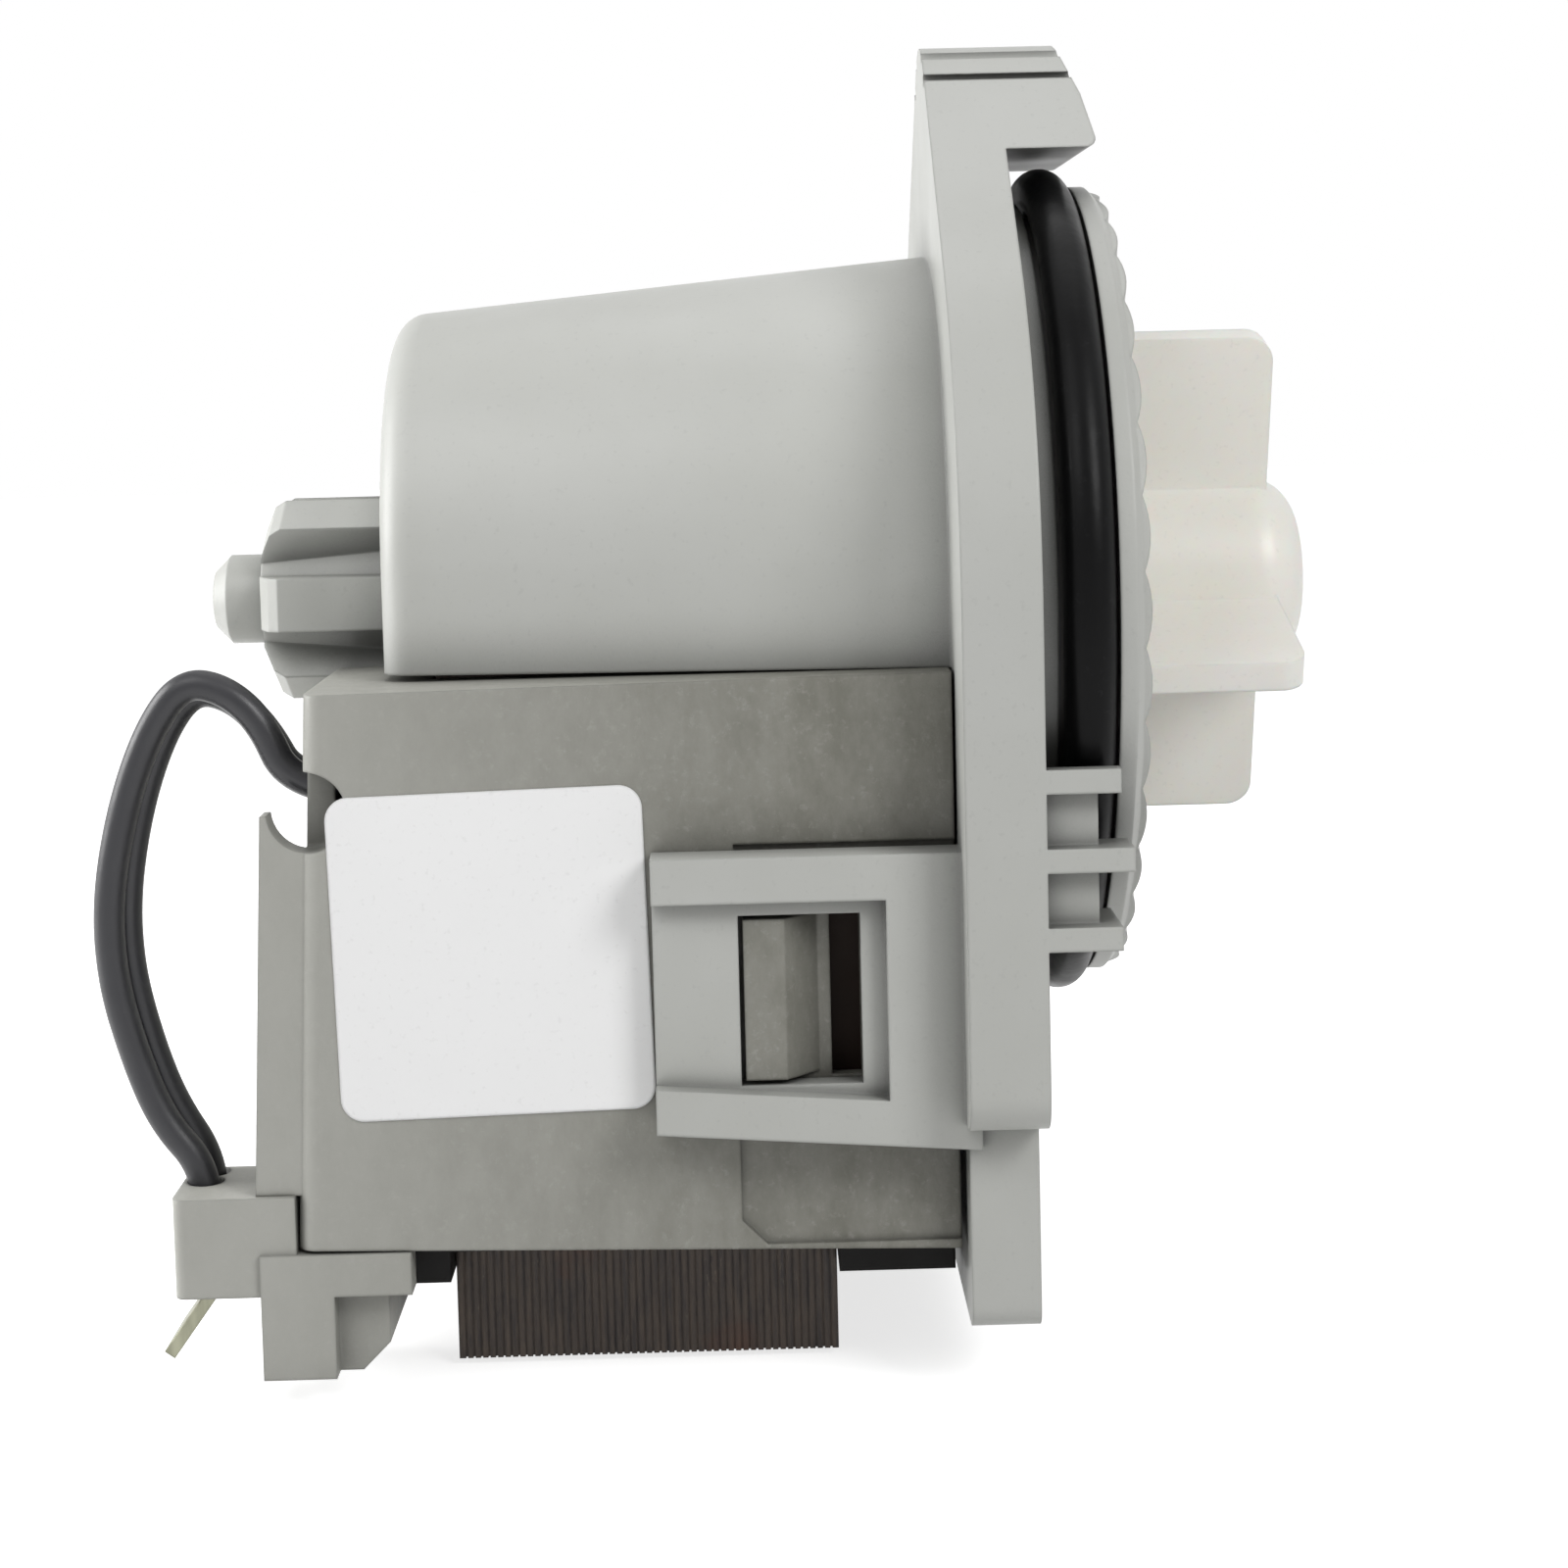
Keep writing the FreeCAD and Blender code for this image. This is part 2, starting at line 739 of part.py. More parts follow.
def motor_housing():
    body = new_body("motor_housing")
    plate_outline_pads(body, -d.plate_thickness, d.plate_thickness)
    round_edges(
        body,
        lambda e: is_upright_line(e, X_WAY) and near(e.CenterOfMass.z, -d.plate_skirt_drop),
        d.plate_skirt_corner,
    )
    leg = new_sketch(body, "YZ_Plane", -d.plate_thickness + d.leg_back_inset)
    add_box(leg, -d.leg_half_width, d.leg_half_width, -d.leg_drop, -d.plate_skirt_drop + d.sink)
    pad(body, leg, d.plate_thickness - d.leg_back_inset - d.leg_front_inset)
    round_edges(
        body,
        lambda e: is_upright_line(e, X_WAY) and near(e.CenterOfMass.z, -d.leg_drop),
        d.leg_corner,
    )
    hook_pads(body)
    hook_grooves(body)
    hood_loft(body, "AdditiveLoft", as_size(0), -d.hood_rear, -d.plate_thickness)
    rear = d.hood_rear.number
    round_edges(
        body,
        lambda e: near(e.CenterOfMass.x, -rear) and e.BoundBox.ZMax > d.hood_centre_height.number - 0.1,
        d.hood_rear_fillet,
    )
    hood_loft(body, "SubtractiveLoft", d.hood_wall, -d.hood_rear + d.hood_wall, -d.plate_thickness)
    can = new_sketch(body, "YZ_Plane", -d.hood_rear + d.hood_wall / 2)
    add_circle(can, 0, 0, d.can_inner_radius + d.can_wall)
    pad(body, can, d.hood_rear - d.hood_wall / 2 - d.plate_thickness / 2)
    boss(body)
    lug_pads = lug(body)
    mirror(body, lug_pads)
    round_hollow = new_sketch(body, "YZ_Plane")
    add_circle(round_hollow, 0, 0, d.ring_outer_radius + d.lug_ring_gap)
    pocket(body, round_hollow, d.hook_reach + d.overcut, reverse=True)
    neck = new_sketch(body, "YZ_Plane", -d.sink)
    add_circle(neck, 0, 0, barrel_radius() + d.cover_barrel_gap + d.neck_width)
    add_circle(neck, 0, 0, barrel_radius() + d.cover_barrel_gap)
    pad(body, neck, d.neck_length + d.sink)
    pads, cut = clip(body)
    mirror(body, pads + [cut])
    hollow = new_sketch(body, "XZ_Plane")
    inside = -d.hood_rear + d.hood_wall
    rear_seat = rear_bearing_rear() - d.end_play
    shaft_end = d.shaft_rear + d.shaft_end_gap
    mouth = -d.cover_plug_length - d.cover_plug_gap
    add_polygon(hollow, [
        (-shaft_end, 0),
        (-shaft_end, d.shaft_radius + d.seal_play),
        (rear_seat, d.shaft_radius + d.seal_play),
        (rear_seat, d.cushion_radius),
        (inside, d.cushion_radius),
        (inside, d.can_inner_radius),
        (mouth, d.can_inner_radius),
        (mouth, d.cover_plug_radius + d.cover_plug_gap),
        (d.overcut, d.cover_plug_radius + d.cover_plug_gap),
        (d.overcut, 0),
    ])
    revolve(body, "Groove", hollow)
    return body


def barrel_radius():
    """The cover's barrel fills the main ring."""
    return d.ring_outer_radius - d.ring_section - d.cover_barrel_gap


def rear_bearing_rear():
    return -d.sleeve_rear - d.washer_thickness - 2 * d.end_play - d.bearing_length


def rear_bearing_front():
    return rear_bearing_rear() + d.bearing_length


def front_bearing_rear():
    return -d.sleeve_front + d.washer_thickness + 2 * d.end_play


# Front cover: barrel, disc with a scalloped rim, plug and bearing hub.

def front_cover():
    bore = d.shaft_radius + d.seal_play
    seal_rear = d.cover_disc_front - d.seal_length
    bearing_rear = front_bearing_rear()
    bearing_front = bearing_rear + d.bearing_length
    floor = d.cover_disc_front - d.cover_dish_depth
    ring_half = d.small_ring_section / 2 + d.small_ring_play
    ring_seat = d.cover_plug_radius - d.small_ring_section + d.small_ring_play
    body = turned("front_cover", [
        (bearing_rear, d.cushion_radius),
        (bearing_front, d.cushion_radius),
        (bearing_front, bore),
        (seal_rear, bore),
        (seal_rear, d.seal_radius),
        (d.cover_disc_front, d.seal_radius),
        (d.cover_disc_front, d.cover_dish_inner),
        (floor, d.cover_dish_inner + d.cover_dish_depth),
        (floor, d.cover_dish_outer - d.cover_dish_depth),
        (d.cover_disc_front, d.cover_dish_outer),
        (d.cover_disc_front, d.cover_disc_radius - d.cover_rim_chamfer),
        (d.cover_disc_front - d.cover_rim_chamfer, d.cover_disc_radius),
        (d.cover_disc_back, d.cover_disc_radius),
        (d.cover_disc_back, barrel_radius()),
        (d.cover_barrel_gap, barrel_radius()),
        (d.cover_barrel_gap, d.cover_plug_radius),
        (-d.small_ring_centre + ring_half, d.cover_plug_radius),
        (-d.small_ring_centre + ring_half, ring_seat),
        (-d.small_ring_centre - ring_half, ring_seat),
        (-d.small_ring_centre - ring_half, d.cover_plug_radius),
        (-d.cover_plug_length, d.cover_plug_radius),
        (-d.cover_plug_length, d.cover_hub_radius),
        (bearing_rear, d.cover_hub_radius),
    ])
    start = d.cover_dish_outer + d.scallop_inset
    wave = new_sketch(body, "XY_Plane", start)
    crest = d.cover_disc_front + d.scallop_proud
    add_sector(wave, d.cover_disc_front - d.scallop_root, crest, d.scallop_half_angle, as_size(0))
    scallop = pad(body, wave, d.cover_disc_radius - d.cover_rim_chamfer - start)
    polar_copies(body, scallop, d.scallop_count)
    return body


def ring(label, centre_x, centre_radius, section):
    """A round-section ring about the rotor axis."""
    body = new_body(label)
    sketch = new_sketch(body, "XZ_Plane")
    add_circle(sketch, centre_x, centre_radius, section / 2)
    revolve(body, "Revolution", sketch)
    return body


# Stator casing: an open-bottomed shell with a guide wall for the leads and the latch teeth.

def casing_low_rear():
    """How far back the leaning rear wall stands at its foot."""
    return d.casing_rear + d.casing_rear_lean


def casing_rear_bottom():
    """How far down the sloping lower edge is at the rear wall."""
    return d.casing_bottom - d.casing_bottom_rise


def stator_casing():
    body = new_body("stator_casing")
    front = -d.plate_thickness - d.casing_front_gap
    shell = new_sketch(body, "XZ_Plane")
    add_polygon(shell, [
        (-d.casing_rear, -d.casing_top - d.casing_top_fall),
        (front, -d.casing_top),
        (front, -d.casing_bottom),
        (-casing_low_rear(), -casing_rear_bottom()),
    ])
    pad(body, shell, 2 * d.casing_half_depth, both_ways=True)
    round_edges(
        body,
        lambda e: e.CenterOfMass.x < -d.casing_rear.number and near(abs(e.CenterOfMass.y), d.casing_half_depth),
        d.casing_corner,
    )
    for side in (True, False):
        offset = d.casing_half_depth if side else -d.casing_half_depth
        track = new_sketch(body, "XZ_Plane", offset)
        track_rear = -d.window_rear - d.track_play
        track_floor = -d.casing_bottom + d.track_rise
        top = -d.clip_top_drop + d.clip_gap
        add_polygon(track, [
            (track_rear, track_floor + d.track_corner),
            (track_rear + d.track_corner, track_floor),
            (front + d.overcut, track_floor),
            (front + d.overcut, top),
            (track_rear, top),
        ])
        pocket(body, track, d.track_depth, reverse=not side)
    hollow = new_sketch(body, "XY_Plane", -d.casing_bottom)
    wall = d.casing_wall
    add_box(hollow, -d.casing_rear + wall, front - wall, -d.casing_half_depth + wall, d.casing_half_depth - wall)
    pocket(body, hollow, d.casing_bottom - d.casing_top - d.casing_top_fall - wall, reverse=True)
    opening = new_sketch(body, "XY_Plane", -d.casing_top - d.casing_top_fall - wall)
    gap = d.casing_opening_gap
    half = d.core_half_width + gap
    add_box(opening, -d.core_rear - gap, core_front() + gap, -half, half)
    pocket(body, opening, wall + d.overcut, reverse=True)
    can_way = new_sketch(body, "YZ_Plane", -d.hood_rear - gap)
    add_circle(can_way, 0, 0, d.can_inner_radius + d.can_wall + gap)
    pocket(body, can_way, d.hood_rear, reverse=True)
    notch = new_sketch(body, "YZ_Plane", -d.casing_rear - d.overcut)
    add_circle(notch, 0, 0, d.boss_rib_radius + d.boss_notch_gap)
    pocket(body, notch, d.casing_rear - d.hood_rear + 2 * d.overcut, reverse=True)
    tooth = new_sketch(body, "XY_Plane", -d.window_bottom_drop + d.tooth_gap)
    rear = -d.window_rear + d.tooth_gap
    inner = -(d.casing_half_depth - d.track_depth - d.tooth_root)
    outer = -(d.casing_half_depth + d.clip_gap + d.clip_web - d.tooth_inset)
    add_polygon(tooth, [
        (rear, inner),
        (rear, outer),
        (rear + d.tooth_width, outer),
        (rear + d.tooth_width * 2, inner),
    ])
    tooth_pad = pad(body, tooth, d.window_bottom_drop - d.window_top_drop - 2 * d.tooth_gap)
    slot = new_sketch(body, "XZ_Plane", d.casing_half_depth)
    slot_rear = rear + d.tooth_width * 2 + d.tooth_gap
    add_box(slot, slot_rear, -d.window_front, -d.window_bottom_drop, -d.window_top_drop)
    slot_cut = pocket(body, slot, d.casing_wall + d.overcut)
    guide = new_sketch(body, "XZ_Plane", d.casing_half_depth - d.guide_root)
    add_polygon(guide, [
        (-d.guide_rear, -d.guide_top_drop),
        (-d.guide_rear - d.guide_rear_lean, -d.guide_bottom_drop),
        (-d.casing_rear + d.guide_root, -d.guide_bottom_drop),
        (-d.casing_rear + d.guide_root, -d.guide_top_drop),
    ])
    guide_pad = pad(body, guide, d.guide_wall, reverse=True)
    saddle = new_sketch(body, "XZ_Plane", d.casing_half_depth)
    add_circle(saddle, -d.casing_rear, -d.guide_top_drop + d.saddle_rise, d.guide_saddle)
    saddle_cut = pocket(body, saddle, d.guide_wall + d.overcut)
    mirror(body, [tooth_pad, slot_cut, guide_pad, saddle_cut])
    holes = new_sketch(body, "YZ_Plane", -d.casing_rear - d.overcut)
    for depth in lead_depths():
        add_circle(holes, -depth, LEAD_ROUTE_START, d.lead_diameter / 2 + d.lead_play)
    pocket(body, holes, d.casing_wall + 2 * d.overcut, reverse=True)
    return body


def core_front():
    return -d.core_rear + d.sheet_thickness * d.sheet_count


def lead_depths():
    return d.near_lead_depth, d.near_lead_depth - d.lead_offset


# Terminal block behind and below the casing, with its foot, post and blade slots.

def blade_outline(sketch, seat, reach, thickness):
    """The slanting blade's side view, from its seat inside the block to its free end."""
    along = (-sine(d.spade_lean), -cosine(d.spade_lean))
    across = (cosine(d.spade_lean), -sine(d.spade_lean))
    start = (-d.spade_rear, -d.block_bottom_drop)
    corners = []
    for run, side in ((-seat, -1), (-seat, 1), (reach, 1), (reach, -1)):
        x = start[0] + along[0] * run + across[0] * thickness / 2 * side
        z = start[1] + along[1] * run + across[1] * thickness / 2 * side
        corners.append((x, z))
    add_polygon(sketch, corners)


def terminal_block():
    body = new_body("terminal_block")
    half = d.block_half_depth
    front = -casing_low_rear() - d.block_gap
    foot_height = d.block_bottom_drop - casing_rear_bottom() - d.foot_gap
    foot_half = half + d.foot_proud
    rear = -d.post_rear
    foot = new_sketch(body, "XY_Plane", -d.block_bottom_drop)
    strip_front = limb_box(d.former_gap + d.former_wall + d.winding_depth)[0] - d.foot_gap
    add_box(foot, rear, strip_front, -foot_half, foot_half)
    pad(body, foot, foot_height)
    for side in (-1, 1):
        block = new_sketch(body, "XY_Plane", -d.block_bottom_drop)
        add_box(block, -d.block_rear, front, d.block_inner_depth * side, half * side)
        pad(body, block, d.block_bottom_drop - d.block_top_drop)
        ear = new_sketch(body, "XY_Plane", -d.block_bottom_drop)
        inner = (foot_half - d.foot_ear) * side
        add_box(ear, rear, -d.foot_front, inner, foot_half * side)
        pad(body, ear, foot_height)
    round_edges(
        body,
        lambda e: is_upright_line(e, Z_WAY) and near(e.CenterOfMass.x, -d.block_rear),
        d.block_corner,
    )
    low = -d.block_bottom_drop + d.sink
    post = new_sketch(body, "XZ_Plane", foot_half)
    add_box(post, -d.post_rear, -d.post_middle, -d.post_drop, low)
    pad(body, post, d.post_depth, reverse=True)
    back_post = new_sketch(body, "XZ_Plane", foot_half - d.post_step)
    chamfer = d.post_chamfer
    add_polygon(back_post, [
        (-d.post_middle - d.sink, low),
        (-d.post_middle - d.sink, -d.post_drop),
        (-d.post_front - chamfer, -d.post_drop),
        (-d.post_front, -d.post_drop + chamfer),
        (-d.post_front, low),
    ])
    pad(body, back_post, d.post_depth - d.post_step, reverse=True)
    for side in (-1, 1):
        slot = new_sketch(body, "XZ_Plane", d.spade_spacing / 2 * side)
        blade_outline(slot, d.spade_seat + d.spade_play, d.spade_slot, d.spade_thickness + 2 * d.spade_play)
        pocket(body, slot, d.spade_width + 2 * d.spade_play, both_ways=True)
    holes = new_sketch(body, "XY_Plane", -d.block_top_drop)
    for depth in lead_depths():
        add_circle(holes, LEAD_ROUTE_END, -depth, d.lead_diameter / 2 + d.lead_play)
    pocket(body, holes, d.lead_seat + d.lead_end_gap)
    return body


def spade(label, side):
    body = new_body(label)
    blade = new_sketch(body, "XZ_Plane", d.spade_spacing / 2 * side)
    blade_outline(blade, d.spade_seat, d.spade_reach, d.spade_thickness)
    pad(body, blade, d.spade_width, both_ways=True)
    return body


# Laminated core: one U of sheets with shallow seams, limbs through the coils and pole shoes round the can.

def core_stack():
    body = new_body("core_stack")
    length = d.sheet_thickness * d.sheet_count
    outer = d.core_half_width
    inner = outer - d.limb_width
    shoe = d.shoe_reach
    outline = new_sketch(body, "YZ_Plane", -d.core_rear)
    right = [
        (inner, -d.yoke_drop + d.yoke_height),
        (inner, -d.shoe_drop),
        (shoe, -d.shoe_drop),
        (shoe, d.pole_rise),
        (outer - d.pole_corner, d.pole_rise),
        (outer, d.hood_centre_height),
        (outer, -d.yoke_drop),
    ]
    left = [(-y, z) for y, z in reversed(right)]
    add_polygon(outline, right + left)
    pad(body, outline, length)
    bore = new_sketch(body, "YZ_Plane", -d.core_rear - d.overcut)
    add_circle(bore, 0, 0, d.can_inner_radius + d.can_wall + d.pole_gap)
    pocket(body, bore, length + 2 * d.overcut, reverse=True)
    depth = d.sheet_groove_depth
    seam = new_sketch(body, "YZ_Plane", -d.core_rear + d.sheet_thickness - d.sheet_groove / 2)
    top = -d.yoke_drop + d.yoke_height - d.seam_stop
    low = -d.yoke_drop
    add_polygon(seam, [
        (-outer, top), (-outer, low), (outer, low), (outer, top),
        (outer - depth, top), (outer - depth, low + depth), (-outer + depth, low + depth), (-outer + depth, top),
    ])
    cut = pocket(body, seam, d.sheet_groove, reverse=True)
    seams = body.newObject("PartDesign::LinearPattern", "core_seams")
    seams.Originals = [cut]
    seams.Direction = (axis_of(body, "X_Axis"), [""])
    bind(seams, "Length", d.sheet_thickness * (d.sheet_count - 2))
    bind(seams, "Occurrences", d.sheet_count - 1)
    body.Tip = seams
    doc.recompute()
    return body


# Coil formers with flanges and the two windings.

def limb_box(grow):
    """The limb's section seen from above, grown by a clearance: rear, front, inner and outer sides."""
    outer = d.core_half_width
    return -d.core_rear - grow, core_front() + grow, outer - d.limb_width - grow, outer + grow


def former(label, side):
    body = new_body(label)
    bottom = -d.casing_bottom - d.former_drop
    height = d.casing_bottom + d.former_drop - d.former_top
    tube_box = limb_box(d.former_gap + d.former_wall)
    flange_box = limb_box(d.former_gap + d.former_wall + d.winding_depth)
    for low, rise, box in (
        (bottom, height, tube_box),
        (bottom, d.former_flange, flange_box),
        (-d.former_top - d.former_flange, d.former_flange, flange_box),
    ):
        section = new_sketch(body, "XY_Plane", low)
        add_box(section, box[0], box[1], box[2] * side, box[3] * side)
        pad(body, section, rise)
    near_y = d.cheek_inner * side
    far_y = d.cheek_outer * side
    for start, end in (
        (-d.cheek_rear, -d.core_rear - d.former_gap),
        (core_front() + d.former_gap, -d.cheek_front),
    ):
        cheek = new_sketch(body, "XY_Plane", -d.cheek_drop)
        add_box(cheek, start, end, near_y, far_y)
        pad(body, cheek, d.cheek_drop - d.casing_bottom)
    bore = new_sketch(body, "XY_Plane", bottom - d.overcut)
    hole = limb_box(d.former_gap)
    add_box(bore, hole[0], hole[1], hole[2] * side, hole[3] * side)
    pocket(body, bore, height + 2 * d.overcut, reverse=True)
    return body


def winding(label, side):
    body = new_body(label)
    bottom = -d.casing_bottom - d.former_drop + d.former_flange + d.winding_gap
    top = -d.former_top - d.former_flange - d.winding_gap
    section = new_sketch(body, "XY_Plane", bottom)
    outer = limb_box(d.former_gap + d.former_wall + d.winding_depth - d.winding_gap)
    inner = limb_box(d.former_gap + d.former_wall + d.winding_gap)
    add_box(section, outer[0], outer[1], outer[2] * side, outer[3] * side)
    add_box(section, inner[0], inner[1], inner[2] * side, inner[3] * side)
    pad(body, section, top - bottom)
    wide = outer[3].number
    narrow = outer[2].number
    round_edges(
        body,
        lambda e: is_upright_line(e, Z_WAY)
        and (near(abs(e.CenterOfMass.y), wide) or near(abs(e.CenterOfMass.y), narrow)),
        d.winding_corner,
    )
    return body


def thermal_cutout():
    body = new_body("thermal_cutout")
    rear = -d.casing_rear + d.casing_wall + d.cutout_gap
    coil_side = limb_box(d.former_gap + d.former_wall + d.winding_depth - d.winding_gap)[2]
    half = coil_side - d.cutout_side_gap
    section = new_sketch(body, "XY_Plane", -d.cutout_drop - d.cutout_height)
    add_box(section, rear, rear + d.cutout_length, -half, half)
    pad(body, section, d.cutout_height)
    round_edges(body, lambda e: is_upright_line(e, Z_WAY), d.cutout_corner)
    return body


def blank_label():
    body = new_body("blank_label")
    section = new_sketch(body, "XZ_Plane", d.casing_half_depth)
    corners = []
    for right, up in ((-1, -1), (1, -1), (1, 1), (-1, 1)):
        across = d.label_width / 2 * right
        rise = d.label_height / 2 * up
        corners.append((
            across * cosine(d.label_tilt) - rise * sine(d.label_tilt) - d.label_middle,
            across * sine(d.label_tilt) + rise * cosine(d.label_tilt) - d.label_middle_drop,
        ))
    add_polygon(section, corners)
    pad(body, section, d.label_thickness)
    round_edges(body, lambda e: is_upright_line(e, Y_WAY), d.label_corner)
    return body


# Rotor, bearings and seals.

def shaft():
    r = d.shaft_radius
    c = d.shaft_chamfer
    rear = -d.shaft_rear
    front = d.shaft_front
    return turned("shaft", [(rear, 0), (rear, r - c), (rear + c, r), (front - c, r), (front, r - c), (front, 0)])


def magnet_sleeve():
    flange = d.sleeve_flange
    magnet_front = -d.magnet_rear + d.magnet_length
    return turned("magnet_sleeve", [
        (-d.sleeve_rear, d.shaft_radius),
        (-d.sleeve_front, d.shaft_radius),
        (-d.sleeve_front, d.sleeve_radius),
        (magnet_front + flange, d.sleeve_radius),
        (magnet_front + flange, d.sleeve_flange_radius),
        (magnet_front, d.sleeve_flange_radius),
        (magnet_front, d.sleeve_radius),
        (-d.magnet_rear, d.sleeve_radius),
        (-d.magnet_rear, d.sleeve_flange_radius),
        (-d.magnet_rear - flange, d.sleeve_flange_radius),
        (-d.magnet_rear - flange, d.sleeve_radius),
        (-d.sleeve_rear, d.sleeve_radius),
    ])


def rotor_line():
    """The turned pieces on the rotor axis."""
    bore = d.shaft_radius + d.bearing_play
    rear = rear_bearing_rear()
    front = front_bearing_rear()
    length = d.bearing_length
    washer = d.washer_thickness
    shaft()
    magnet_sleeve()
    tube("rotor_magnet", d.sleeve_radius, d.magnet_radius, -d.magnet_rear, -d.magnet_rear + d.magnet_length)
    tube("rear_bearing", bore, d.bearing_radius, rear, rear + length)
    tube("front_bearing", bore, d.bearing_radius, front, front + length)
    tube("rear_cushion", d.bearing_radius, d.cushion_radius, rear, rear + length)
    tube("front_cushion", d.bearing_radius, d.cushion_radius, front, front + length)
    rear_face = -d.sleeve_rear - d.end_play
    tube("rear_washer", bore, d.washer_radius, rear_face - washer, rear_face)
    front_face = -d.sleeve_front + d.end_play
    tube("front_washer", bore, d.washer_radius, front_face, front_face + washer)
    seal_front = d.cover_disc_front
    tube("shaft_seal", d.shaft_radius + d.seal_play, d.seal_radius, seal_front - d.seal_length, seal_front)
    half = d.small_ring_section / 2
    outer = d.cover_plug_radius + d.cover_plug_gap - d.gasket_fit
    middle = -d.small_ring_centre
    tube("cover_gasket", outer - d.small_ring_section, outer, middle - half, middle + half)
    ring("main_o_ring", d.ring_centre, d.ring_outer_radius - d.ring_section / 2, d.ring_section)


# Impeller with its driver: the dog on the shaft turns in a chamber and pushes the stop.

def turn_about_axis(body):
    """Turns the whole piece about the rotor axis to the blades' resting place."""
    body.Placement = FreeCAD.Placement(FreeCAD.Vector(), FreeCAD.Rotation(X_WAY, d.blade_turn.number))
    bind(body, "Placement.Rotation.Angle", d.blade_turn)


def drive_dog():
    body = new_body("drive_dog")
    rear = d.impeller_rear + d.cap_thickness + d.dog_play
    length = d.chamber_front - d.dog_play - rear
    core = new_sketch(body, "YZ_Plane", rear)
    add_circle(core, 0, 0, d.shaft_radius)
    add_circle(core, 0, 0, d.dog_core_radius)
    pad(body, core, length)
    arm = new_sketch(body, "YZ_Plane", rear)
    add_sector(arm, d.dog_core_radius - d.sink / 2, d.dog_radius, d.dog_angle / 2, as_size(90))
    pad(body, arm, length)
    turn_about_axis(body)
    return body


def impeller():
    body = new_body("impeller")
    hub = new_sketch(body, "XZ_Plane")
    rear = d.impeller_rear
    add_polygon(hub, [(rear, 0), (rear, d.hub_radius), (d.hub_front, d.hub_radius), (d.hub_front, 0)])
    revolve(body, "Revolution", hub)
    round_edges(body, lambda e: near(e.CenterOfMass.x, d.hub_front), d.hub_dome)
    blade = new_sketch(body, "XZ_Plane")
    add_box(blade, rear, d.blade_front, d.hub_radius / 2, d.impeller_radius)
    blade_pad = pad(body, blade, d.blade_thickness, both_ways=True)
    polar_copies(body, blade_pad, d.blade_count)
    tip = d.impeller_radius.number
    front = d.blade_front.number
    round_edges(
        body,
        lambda e: near(e.Length, d.blade_thickness)
        and near(e.CenterOfMass.x, front)
        and math.hypot(e.CenterOfMass.y, e.CenterOfMass.z) > tip - 0.1,
        d.blade_corner,
    )
    chamber = new_sketch(body, "XZ_Plane")
    bore = d.shaft_radius + d.hub_bore_play
    add_polygon(chamber, [
        (rear - d.overcut, 0),
        (rear - d.overcut, d.chamber_radius),
        (d.chamber_front, d.chamber_radius),
        (d.chamber_front, bore),
        (d.shaft_front + d.hub_shaft_gap, bore),
        (d.shaft_front + d.hub_shaft_gap, 0),
    ])
    revolve(body, "Groove", chamber)
    stop = new_sketch(body, "YZ_Plane", rear + d.cap_thickness)
    inner = d.dog_core_radius + d.dog_play
    add_sector(stop, inner, d.chamber_radius + d.sink / 2, d.stop_angle / 2, as_size(270))
    pad(body, stop, d.chamber_front - rear - d.cap_thickness + d.sink / 2)
    turn_about_axis(body)
    return body


def impeller_cap():
    bore = d.shaft_radius + d.hub_bore_play
    rear = d.impeller_rear
    return tube("impeller_cap", bore, d.chamber_radius, rear, rear + d.cap_thickness)


# Leads from the casing's rear wall to the terminal block, each a tube on straight runs and arcs.

LEAD_ROUTE = [
    (-44.7, -11.1),
    (-48.0, -10.6),
    (-49.6, -7.0),
    (-51.8, -4.8),
    (-54.4, -4.2),
    (-56.6, -7.0),
    (-58.5, -12.0),
    (-59.7, -18.0),
    (-59.6, -23.2),
    (-58.4, -28.2),
    (-56.9, -32.4),
    (-54.4, -35.9),
    (-54.4, -38.2),
]
LEAD_HOLE_RISE = 0.15
LEAD_ROUTE_MIDDLE = (-51.0, -20.0)
LEAD_ROUTE_START = LEAD_ROUTE[0][1] + LEAD_HOLE_RISE
LEAD_ROUTE_END = LEAD_ROUTE[-1][0]


ARC_SHARE = 0.45


def rounded_path(points):
    """Straight runs joined by tangent arcs, each taking up to ARC_SHARE of its shorter run."""
    edges = []
    radii = []
    start = points[0]
    for before, corner, after in zip(points, points[1:], points[2:]):
        back = (before - corner)
        onward = (after - corner)
        turn = math.pi - back.getAngle(onward)
        reach = ARC_SHARE * min(back.Length, onward.Length)
        radii.append(reach / math.tan(turn / 2))
        back.normalize()
        onward.normalize()
        first = corner + back * reach
        last = corner + onward * reach
        middle_way = (back + onward).normalize()
        centre = corner + middle_way * (radii[-1] / math.cos(turn / 2))
        middle = centre - middle_way * radii[-1]
        edges.append(Part.LineSegment(start, first).toShape())
        edges.append(Part.Arc(first, middle, last).toShape())
        start = last
    edges.append(Part.LineSegment(start, points[-1]).toShape())
    return Part.Wire(edges), radii


